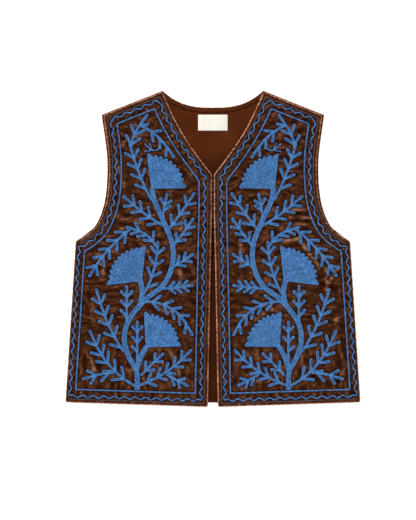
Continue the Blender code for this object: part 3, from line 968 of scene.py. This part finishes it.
straight_border = front_ring(0.0, **STRAIGHT_INSETS)
stem_rows = side_by_side(stem_line(np.linspace(0, 1, STEM_POINTS)), STEM_ROWS)
stem_rows += [row for stalk in STALKS for row in stalk_rows(*stalk)]
flower_rows = [row for fan in FANS for row in fan_rows(*fan)]
leafy_rows = []
taken = np.vstack([even(row, SEEN_STEP) for row in [straight_border, *stem_rows, *flower_rows]])
for sprig in SPRIGS:
    rows = sprig_rows(taken, *sprig)
    taken = np.vstack([taken, *[even(row, SEEN_STEP) for row in rows]])
    leafy_rows += rows
drawing = {
    # rows, and the size of their stitches
    "straight_border": ([straight_border], 1.1),
    "wavy_border": ([wavy_row()], 1.0),
    "stem_and_stalks": (stem_rows, 1.0),
    "flowers": (flower_rows, 1.06),
    "sprigs": (leafy_rows, 1.03),
}


# Velvet fronts: two panels on the lined back, sewn to it at the sides and shoulders. The rows
# of stitching draw the velvet in, so it puffs between them and its pile creases every way.
SIGNS = {"left": -1, "right": 1}  # which way each front lies in X
FRONT_PITCH = 0.0024
FRONT_WALL = 0.0015
UNDER_ROLL = 0.0020  # the panel's own edge is inside the rolled edge
BASE_ROUNDS = 30  # of smoothing, which takes the solid's flat faces out
FREE_FROM = 0.004  # from the edge to where the velvet is free to crease
FREE_RAMP = 0.012  # and on from there to where it creases fully
STITCH_DIP = 0.00045
STITCH_REACH = 0.0030
PUCKER = 0.00020
PUCKER_PITCH = 0.0115
PUCKER_BAND = (0.0150, 0.0065)  # the middle of the border, and half its width
PUCKER_DRIFT = (0.8, 0.043)  # how uneven the puckers are, and how far it is from wide to wide
CRUSH = 0.0013
CRUSH_MIDDLE = 0.45
CRUSH_SIZE = 0.0145
CRUSH_STRETCH = ((0.62, 1.35), (1.35, 0.60))  # of level creases and of upright ones
CRUSH_BEND = 0.7
CRUSH_AT = 3.1  # where in the noise its creases are taken
NOISE_SEED = 11  # so that they are the same in every run
RIDGES = (1.0, 2.1, 2, 1.0, 1.6)  # of the noise: how rough, how much finer, layers, offset, gain
PROUD_ROUNDS = 24  # of smoothing, for the height that a ridge is measured from
RIDGE_PAINTED_LIGHT = 0.45  # painted highlight on ridges and painted shade in dips: how much lighter the pile is for each millimetre that it stands proud
STITCH_PAINTED_SHADE = 0.10  # painted shade beside the stitches: how much darker it is where they press it
CREASES = {
    "left": (
        # x, y, heading in degrees, length, width, height
        (0.150, 0.052, 12, 0.060, 0.0050, 0.0011),
        (0.172, 0.031, -28, 0.050, 0.0045, 0.0010),
        (0.120, -0.005, 60, 0.045, 0.0040, 0.0009),
        (0.200, -0.030, 78, 0.060, 0.0050, 0.0010),
        (0.215, -0.100, 96, 0.070, 0.0050, 0.0009),
        (0.185, -0.140, 40, 0.050, 0.0045, 0.0009),
        (0.060, -0.040, 84, 0.080, 0.0045, 0.0008),
        (0.052, 0.060, 100, 0.060, 0.0045, 0.0008),
        (0.085, -0.110, 20, 0.055, 0.0040, 0.0009),
        (0.070, -0.200, 70, 0.050, 0.0045, 0.0008),
        (0.165, 0.130, 75, 0.070, 0.0045, 0.0009),
        (0.150, 0.195, 150, 0.050, 0.0045, 0.0008),
        (0.120, 0.215, 20, 0.045, 0.0040, 0.0008),
        (0.215, -0.210, 66, 0.060, 0.0050, 0.0009),
    ),
    "right": (
        (0.154, 0.070, 2, 0.034, 0.0030, 0.0011),
        (0.159, 0.056, -3, 0.044, 0.0034, 0.0012),
        (0.164, 0.044, 4, 0.032, 0.0028, 0.0010),
        (0.140, 0.016, 12, 0.032, 0.0036, 0.0014),
        (0.163, 0.006, -48, 0.034, 0.0036, 0.0015),
        (0.180, -0.017, -48, 0.040, 0.0036, 0.0013),
        (0.218, -0.045, 60, 0.040, 0.0040, 0.0012),
        (0.205, -0.060, 95, 0.050, 0.0040, 0.0011),
        (0.190, -0.010, -30, 0.040, 0.0040, 0.0010),
        (0.220, -0.150, 84, 0.080, 0.0050, 0.0009),
        (0.160, -0.200, 110, 0.050, 0.0045, 0.0008),
        (0.085, -0.100, 160, 0.055, 0.0040, 0.0009),
        (0.050, -0.020, 92, 0.070, 0.0045, 0.0008),
        (0.060, 0.120, 60, 0.050, 0.0040, 0.0008),
        (0.140, 0.215, 30, 0.050, 0.0045, 0.0009),
        (0.100, -0.235, 12, 0.060, 0.0045, 0.0008),
    ),
}


def heights(surface, points):
    """How high a surface lies at each point, from above."""
    found = []
    for x, y in points:
        hit = surface.ray_cast(Vector((x, y, 0.1)), Vector((0, 0, -1)))[0]
        found.append((hit or surface.find_nearest(Vector((x, y, CLOTH_TOP)))[0]).z)
    return np.array(found)


def smoothed(grid, passes):
    """A grid of heights with its small steps evened out."""
    for _ in range(passes):
        padded = np.pad(grid, 1, mode="edge")
        grid = (padded[:-2, 1:-1] + padded[2:, 1:-1] + padded[1:-1, :-2] + padded[1:-1, 2:]) / 4
    return grid


def crushed(points, depth):
    """Creases of crushed pile, as ridges with broad dips between, from 0 to 1."""
    found = []
    for x, y in points:
        upright = float(ease((y - UPRIGHT_BELOW[0]) / (UPRIGHT_BELOW[1] - UPRIGHT_BELOW[0])))
        ridges = []
        for stretch in CRUSH_STRETCH:
            at = Vector((x * stretch[0], y * stretch[1], depth * sum(stretch))) / CRUSH_SIZE
            bent = at + CRUSH_BEND * noise.noise_vector(at * 0.5)
            ridges.append(noise.ridged_multi_fractal(bent, *RIDGES))
        found.append(ridges[0] + (ridges[1] - ridges[0]) * upright)
    found = np.array(found)
    return (found - found.min()) / (found.max() - found.min())


def front_plan():
    """The panel's points in plan, row by row from the hem, column by column from the opening."""
    rows = np.linspace(0, 1, round((NECK_POINT[1] - HEM_CENTRE[1]) / FRONT_PITCH))
    columns = np.linspace(0, 1, round((HEM_SIDE[0] - HEM_CENTRE[0]) / FRONT_PITCH))
    inner_y = HEM_CENTRE[1] + UNDER_ROLL + rows * (NECK_POINT[1] - HEM_CENTRE[1] - 3 * UNDER_ROLL)
    outer_y = HEM_SIDE[1] + UNDER_ROLL + rows * (SHOULDER_TIP[1] - HEM_SIDE[1] - 2 * UNDER_ROLL)
    inner = np.column_stack([inner_x(inner_y) + UNDER_ROLL, inner_y])
    outer = np.column_stack([outer_x(outer_y) - UNDER_ROLL, outer_y])
    return inner[:, None] + (outer - inner)[:, None] * columns[None, :, None]


def stitch_distance(points):
    """How far each point is from the nearest row of stitches."""
    sewn = np.vstack([even(row, SEEN_STEP) for rows, _ in drawing.values() for row in rows])
    tree = kdtree.KDTree(len(sewn))
    for i, (x, y) in enumerate(sewn):
        tree.insert((x, y, 0), i)
    tree.balance()
    return np.array([tree.find((x, y, 0))[2] for x, y in points])


def surface_of(piece):
    """A piece's surface, for finding how high it lies."""
    return BVHTree.FromObject(piece, bpy.context.evaluated_depsgraph_get())


def make_front(side):
    """One velvet front: the solid's own height, with puckers, creases and the stitches' dips."""
    sign = SIGNS[side]
    plan = front_plan()
    grid = plan.shape[:2]
    flat = plan.reshape(-1, 2)
    base = heights(solids[side], flat * (sign, 1))
    base = smoothed(base.reshape(grid), BASE_ROUNDS).ravel()
    edge, place_on_edge = distance_to(front_ring(0.0), flat)
    inside = ease((edge - FREE_FROM) / FREE_RAMP)
    height = inside * fold_height(flat, CREASES[side])
    height += inside * CRUSH * (crushed(flat, CRUSH_AT + sign) - CRUSH_MIDDLE)
    in_border = np.exp(-(((edge - PUCKER_BAND[0]) / PUCKER_BAND[1]) ** 2))
    wobble = PUCKER_DRIFT[0] * np.sin(2 * math.pi * place_on_edge / PUCKER_DRIFT[1] + sign)
    height += PUCKER * in_border * np.sin(2 * math.pi * place_on_edge / PUCKER_PITCH + wobble)
    pressed = np.exp(-((stitch_distance(flat) / STITCH_REACH) ** 2))
    height -= STITCH_DIP * pressed
    proud = height - smoothed(height.reshape(grid), PROUD_ROUNDS).ravel()
    points = np.column_stack([flat * (sign, 1), base + height]).reshape(*grid, 3)
    # Painted highlight on the ridges, and painted shade in the dips and beside the stitches.
    nap = (1000 * RIDGE_PAINTED_LIGHT * proud - STITCH_PAINTED_SHADE * pressed).reshape(grid)
    front = cloth_grid(f"velvet_front_{side}", points[:, ::sign], velvet, nap=nap[:, ::sign])
    thicken(front, FRONT_WALL, -1.0)
    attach(front, "root")
    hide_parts(f"front_{side}")
    return front


noise.seed_set(NOISE_SEED)
solids = {side: surface_of(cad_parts[f"front_{side}"]) for side in SIGNS}
fronts = {side: make_front(side) for side in SIGNS}


# Rolled edges: round each front the velvet is turned over a cord of itself and oversewn by
# hand every few millimetres, which twists it like a rope. The pile is worn pale between.
ROLL_HALF = (0.0027, 0.0015)  # across and up
ROLL_INSET = 0.0026
ARMHOLE_ROLL_INSET = 0.0036  # so that the back's rim shows outside it
ROLL_LIFT = 0.0002
ROLL_SWELL = (0.10, 0.037, 0.011)  # how much it swells, over a long way and a short one
ROLL_STEP = 0.0009
ROLL_ROUNDS = 12  # of smoothing, for the height that it lies at
ROLL_SIDES = 12
CATCH_PITCH = 0.0043
CATCH_DRIFT = (0.25, 0.029)  # how uneven the stitches are, and how far it is from wide to wide
CATCH_DEPTH = 0.0007
CATCH_SLANT = 0.36  # how far a stitch leans, as a share of the pitch
CATCH_SHADE = 0.80  # how dark it is in a stitch's dimple
CATCH_POWER = 1.5  # how narrow a dimple is
WORN_FROM = 0.35  # the pile is worn from here, across the roll, to its outside
WORN_RAMP = 1.3
WORN_PATCHES = (0.30, 0.0233, 0.0049)  # how uneven the wear is, over a long way and a short one
WORN_TUFTS = (0.24, 0.00134)
EDGE_WEAR = {
    # how pale the pile is worn along each side
    "hem": 0.22,
    "side": 0.05,
    "armhole": 0.34,
    "shoulder": 0.38,
    "neck": 0.44,
    "opening": 0.38,
}
EDGE_TONES = (
    # lightness of the pile, colour
    (0.10, "#1c0a03"),
    (0.32, "#3f1e0e"),
    (0.50, "#633621"),
    (0.68, "#8f5b43"),
    (0.84, "#b5836b"),
    (1.00, "#cba18b"),
)

# The same velvet with its pile worn down: paler and dustier, with painted shade in the dimples.
worn_velvet = pile_material("worn_velvet_edge", EDGE_TONES)


def make_rolled_edge(side):
    """The roll round one front, with a slanting dimple at each stitch."""
    sign = SIGNS[side]
    line = even(front_ring(ROLL_INSET, armhole=ARMHOLE_ROLL_INSET), ROLL_STEP)
    square = square_to(line, closed=True)
    place = np.arange(len(line)) * ROLL_STEP
    base = heights(solids[side], line * (sign, 1))
    base = smoothed(np.repeat(base[:, None], 3, axis=1), ROLL_ROUNDS)[:, 1]
    turn = np.linspace(0, 2 * math.pi, ROLL_SIDES + 1)
    across, up = np.cos(turn), np.sin(turn)
    drift = CATCH_DRIFT[0] * np.sin(2 * math.pi * place / CATCH_DRIFT[1] + sign)
    stitch = (place / CATCH_PITCH + drift)[:, None] - CATCH_SLANT * across[None]
    caught = (0.5 + 0.5 * np.cos(2 * math.pi * stitch)) ** CATCH_POWER
    inner = np.clip(0.70 + 0.50 * across, 0, 1)  # dimples are deepest on the roll's inner side, where painted shade darkens it most
    far = [distance_to(near, line)[0] for near in front_sides().values()]
    wear = np.array([EDGE_WEAR[name] for name in front_sides()])[np.argmin(far, axis=0)]
    most, slow, fast = ROLL_SWELL
    swell = np.sin(2 * math.pi * place / slow) * np.sin(2 * math.pi * place / fast)
    shift = ROLL_HALF[0] * (1 + most * swell)[:, None] * across[None]
    plan = line[:, None] + square[:, None] * shift[..., None]
    height = base[:, None] + ROLL_LIFT - ROLL_HALF[1] + ROLL_HALF[1] * up[None]
    height -= CATCH_DEPTH * caught * (inner * (up > 0))[None]
    worn = ease((WORN_FROM - across) / WORN_RAMP)
    most, slow, fast = WORN_PATCHES
    patchy = most * np.sin(2 * math.pi * place / slow) * np.sin(place / fast)
    wear = wear * (1 + patchy + WORN_TUFTS[0] * np.sin(place / WORN_TUFTS[1]))
    # Wear pales the roll's outer side. Painted shade darkens its inner side and each stitch's
    # dimple.
    nap = wear[:, None] * worn[None] - 0.02 - 0.05 * inner[None]
    nap -= CATCH_SHADE * np.sqrt(wear)[:, None] * caught * inner[None]
    points = np.dstack([plan * (sign, 1), height])
    points[-1] = points[0]
    edge = cloth_grid(f"rolled_edge_{side}", points, worn_velvet, closed=True, nap=nap)
    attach(edge, "root")
    return edge


edges = {side: make_rolled_edge(side) for side in SIGNS}


# Back rim: the back's own edge is turned in and oversewn the same way, but flatter. It shows
# as a second pale line at the shoulders, the armholes and the neck.
RIM_HALF = (0.0011, 0.0008)
RIM_INSET = 0.0010
RIM_CATCH_PITCH = 0.0057
RIM_CATCH_DEPTH = 0.35  # how far a stitch pulls it in, as a share of its height
RIM_UNEVEN = ((0.6, 31), (0.4, 83))  # how uneven its stitches are, and how often round it
RIM_STEP = 0.0016
RIM_SIDES = 8
RIM_WEAR_AND_SHADE = (0.16, -0.50, -240)  # of its pile in all, painted shade in a stitch, and for each metre outwards

sides = back_sides()
rim_sides = inset(sides, dict.fromkeys(sides, RIM_INSET))
line = np.vstack([side[:-1] for side in rim_sides.values()])
line = even(np.vstack([line, line[:1]]), RIM_STEP)
place = np.linspace(0, 1, len(line))
catches = round(run_along(line)[-1] / RIM_CATCH_PITCH)
uneven = sum(much * np.sin(2 * math.pi * often * place) for much, often in RIM_UNEVEN)
caught = (0.5 + 0.5 * np.cos(2 * math.pi * (catches * place + uneven))) ** 2
turn = np.linspace(0, 2 * math.pi, RIM_SIDES + 1)
across, up = RIM_HALF[0] * np.cos(turn), RIM_HALF[1] * np.sin(turn)
square = square_to(line, closed=True)
plan = line[:, None] + square[:, None] * across[None, :, None]
base = fold_height(line, BACK_CREASES) + BACK_WALL
height = base[:, None] + up[None] * (1 - RIM_CATCH_DEPTH * caught[:, None])
# Painted shade darkens the rim in each stitch.
nap = RIM_WEAR_AND_SHADE[0] + RIM_WEAR_AND_SHADE[1] * caught[:, None] + RIM_WEAR_AND_SHADE[2] * across[None]
points = np.dstack([plan, height])
points[-1] = points[0]
rim = cloth_grid("back_rim", points, worn_velvet, closed=True, nap=nap)
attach(rim, "root")


# Chain stitch: each link is a loop of soft cotton thread that comes up inside the one before
# it. Rows of it make the whole embroidery, sewn on each front by hand.
LINK_PITCH = 0.0026
LINK_LENGTH = 0.0027
LINK_HALF = 0.00088  # half its width, at the middle of the thread
THREAD_RADIUS = 0.00056
LINK_STEPS = 6
LINK_HEAD = 0.15  # how much wider its head is than its middle
LINK_RISE = (0.00030, 0.00025, 0.00012)  # its middle, how far its ends dip, and its head more
THREAD_SIDES = 3
THREAD_TONES = (
    # share, colour
    (0.15, "#22528b"),
    (0.45, "#3c74b1"),
    (0.70, "#4a87c5"),
    (0.92, "#6ba8e4"),
)
TINTS = (0.1, 0.9)  # the palest and the darkest that a link may be
CHAIN_LIFT = 0.0003

# Soft six-strand embroidery cotton, dyed indigo blue: matt with a slight lustre, and a little
# lighter or darker from link to link as the strands turn.
cotton_thread, tree, shader = new_material("stranded_embroidery_cotton")
strand = add_node(tree, "ShaderNodeAttribute", attribute_name="tint").outputs["Fac"]
place = add_node(tree, "ShaderNodeTexCoord").outputs["Object"]
fibres = add_node(
    tree, "ShaderNodeTexNoise", {"Vector": place}, Scale=900.0, Detail=2.0, Roughness=0.6
)
mixed = add_node(tree, "ShaderNodeMix", {"A": strand, "B": fibres}, Factor=0.35)
tone = add_node(tree, "ShaderNodeValToRGB", {"Fac": mixed})
set_tones(tone.color_ramp, THREAD_TONES)
bump = add_node(tree, "ShaderNodeBump", {"Height": fibres}, Strength=0.3, Distance=0.0003)
links = {"Base Color": tone, "Normal": bump}
add_node(tree, shader, links, Roughness=0.72, Specular_IOR_Level=0.3, Sheen_Weight=0.15)


def make_link():
    """One link along +X, from where its thread comes up to the head of its loop."""
    build = bmesh.new()
    bmesh.ops.create_circle(build, segments=THREAD_SIDES, radius=THREAD_RADIUS)
    bmesh.ops.rotate(
        build,
        verts=build.verts,
        cent=(0, 0, 0),
        matrix=Vector((0, -1, 0)).rotation_difference(Vector((0, 0, 1))).to_matrix(),
    )
    bmesh.ops.translate(build, verts=build.verts, vec=(1, 0, 0))
    bmesh.ops.spin(
        build,
        geom=[*build.verts, *build.edges],
        cent=(0, 0, 0),
        axis=(0, 0, 1),
        angle=2 * math.pi,
        steps=LINK_STEPS,
        use_merge=True,
    )
    bmesh.ops.remove_doubles(build, verts=build.verts, dist=1e-6)
    for vertex in build.verts:
        x, y, z = vertex.co
        round_x, round_y = Vector((x, y)).normalized()
        x, y = x - round_x, y - round_y
        vertex.co.x = x + LINK_LENGTH * (0.5 + 0.5 * round_x)
        vertex.co.y = y + LINK_HALF * round_y * (1 - LINK_HEAD + LINK_HEAD * round_x)
        vertex.co.z = z + LINK_RISE[0] - LINK_RISE[1] * round_x**2 - LINK_RISE[2] * round_x
    bmesh.ops.recalc_face_normals(build, faces=build.faces)
    return add_piece("link", mesh_of("link", build), cotton_thread)


def sewing(stitch):
    """Nodes that put one stitch on each point, along its way and at its size."""
    group = bpy.data.node_groups.new("sewing", "GeometryNodeTree")
    group.interface.new_socket("Rows", in_out="INPUT", socket_type="NodeSocketGeometry")
    group.interface.new_socket("Stitches", in_out="OUTPUT", socket_type="NodeSocketGeometry")
    rows = add_node(group, "NodeGroupInput").outputs["Rows"]
    one = add_node(group, "GeometryNodeObjectInfo", Object=stitch).outputs["Geometry"]
    way = add_node(group, "GeometryNodeInputNamedAttribute", data_type="FLOAT_VECTOR", Name="way")
    size = add_node(group, "GeometryNodeInputNamedAttribute", data_type="FLOAT", Name="size")
    turn = add_node(
        group,
        "FunctionNodeAxesToRotation",
        {"Primary Axis": way},
        primary_axis="X",
        secondary_axis="Z",
        Secondary_Axis=(0, 0, 1),
    )
    links = {"Points": rows, "Instance": one, "Rotation": turn, "Scale": size}
    placed = add_node(group, "GeometryNodeInstanceOnPoints", links)
    real = add_node(group, "GeometryNodeRealizeInstances", {"Geometry": placed})
    add_node(group, "NodeGroupOutput", {"Stitches": real})
    return group


def sew(name, side, rows, pitch, size, lift, group, material):
    """Rows of stitches laid on a front, as one piece."""
    sign = SIGNS[side]
    random = np.random.default_rng(len(rows) + 7 * sign + 11)  # other tints on each side
    build = bmesh.new()
    layers = [
        build.verts.layers.float_vector.new("way"),
        build.verts.layers.float.new("size"),
        build.verts.layers.float.new("tint"),
    ]
    surface = surface_of(fronts[side])
    for row in rows:
        stops = even(row, pitch * size) * (sign, 1)
        stops = np.column_stack([stops, heights(surface, stops) + lift])
        for start, end in zip(stops, stops[1:]):
            point = build.verts.new(start)
            values = Vector(end - start), size, float(random.uniform(*TINTS))
            for layer, value in zip(layers, values):
                point[layer] = value
    points = mesh_of(name, build)
    piece = add_piece(name, points, material)
    piece.modifiers.new("sewing", "NODES").node_group = group
    graph = bpy.context.evaluated_depsgraph_get()
    piece.data = bpy.data.meshes.new_from_object(piece.evaluated_get(graph))
    piece.modifiers.clear()
    bpy.data.meshes.remove(points)
    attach(piece, "root")
    return piece


link = make_link()
chain = sewing(link)
REPLACED = {
    "stem_and_stalks": ("stem", "stalk_low", "stalk_middle"),
    "flowers": ("fan_low", "fan_middle", "fan_top"),
}
embroidery = {side: [] for side in SIGNS}
for side, pieces in embroidery.items():
    for part, (rows, size) in drawing.items():
        name = f"{part}_{side}"
        piece = sew(name, side, rows, LINK_PITCH, size, CHAIN_LIFT, chain, cotton_thread)
        for node in REPLACED.get(part, ()):
            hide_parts(f"{node}_{side}")
        pieces.append(piece)
bpy.data.objects.remove(link)


# Topstitching: one line of fine thread just inside each rolled edge, in short even stitches
# that sink into the pile.
TOPSTITCH_INSET = 0.0072
TOPSTITCH_HEM_INSET = 0.0060
TOPSTITCH_PITCH = 0.0034
TOPSTITCH_LONG = 0.0034
TOPSTITCH_RADIUS = 0.00042
TOPSTITCH_LIFT = 0.0002
TOPSTITCH_TONES = ((0.0, "#435262"), (1.0, "#63788c"))

# Mercerised sewing thread: greyish blue, fine and a little shiny.
sewing_thread, tree, shader = new_material("mercerised_sewing_thread")
strand = add_node(tree, "ShaderNodeAttribute", attribute_name="tint").outputs["Fac"]
tone = add_node(tree, "ShaderNodeValToRGB", {"Fac": strand})
set_tones(tone.color_ramp, TOPSTITCH_TONES)
add_node(tree, shader, {"Base Color": tone}, Roughness=0.55)

build = bmesh.new()
bmesh.ops.create_uvsphere(build, u_segments=4, v_segments=4, radius=1.0)
bmesh.ops.rotate(
    build,
    verts=build.verts,
    cent=(0, 0, 0),
    matrix=Vector((0, 0, 1)).rotation_difference(Vector((1, 0, 0))).to_matrix(),
)
bmesh.ops.scale(
    build, verts=build.verts, vec=(TOPSTITCH_LONG / 2, TOPSTITCH_RADIUS, TOPSTITCH_RADIUS)
)
bmesh.ops.translate(build, verts=build.verts, vec=(TOPSTITCH_PITCH / 2, 0, 0))
short_stitch = add_piece("short_stitch", mesh_of("short_stitch", build), sewing_thread)
running = sewing(short_stitch)
insets = {**dict.fromkeys(front_sides(), TOPSTITCH_INSET), "hem": TOPSTITCH_HEM_INSET}
sewn_sides = inset(front_sides(), insets)
del sewn_sides["side"]  # a plain seam, with no topstitching
rows = list(sewn_sides.values())
for side, pieces in embroidery.items():
    name, lift = f"topstitch_{side}", TOPSTITCH_LIFT
    pieces.append(sew(name, side, rows, TOPSTITCH_PITCH, 1.0, lift, running, sewing_thread))
bpy.data.objects.remove(short_stitch)

for side, front in fronts.items():
    flat_area(front_ring(0.0)[:-1])


size = {"cad": [list(c) for c in cad_box], "visual": [list(c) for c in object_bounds()]}
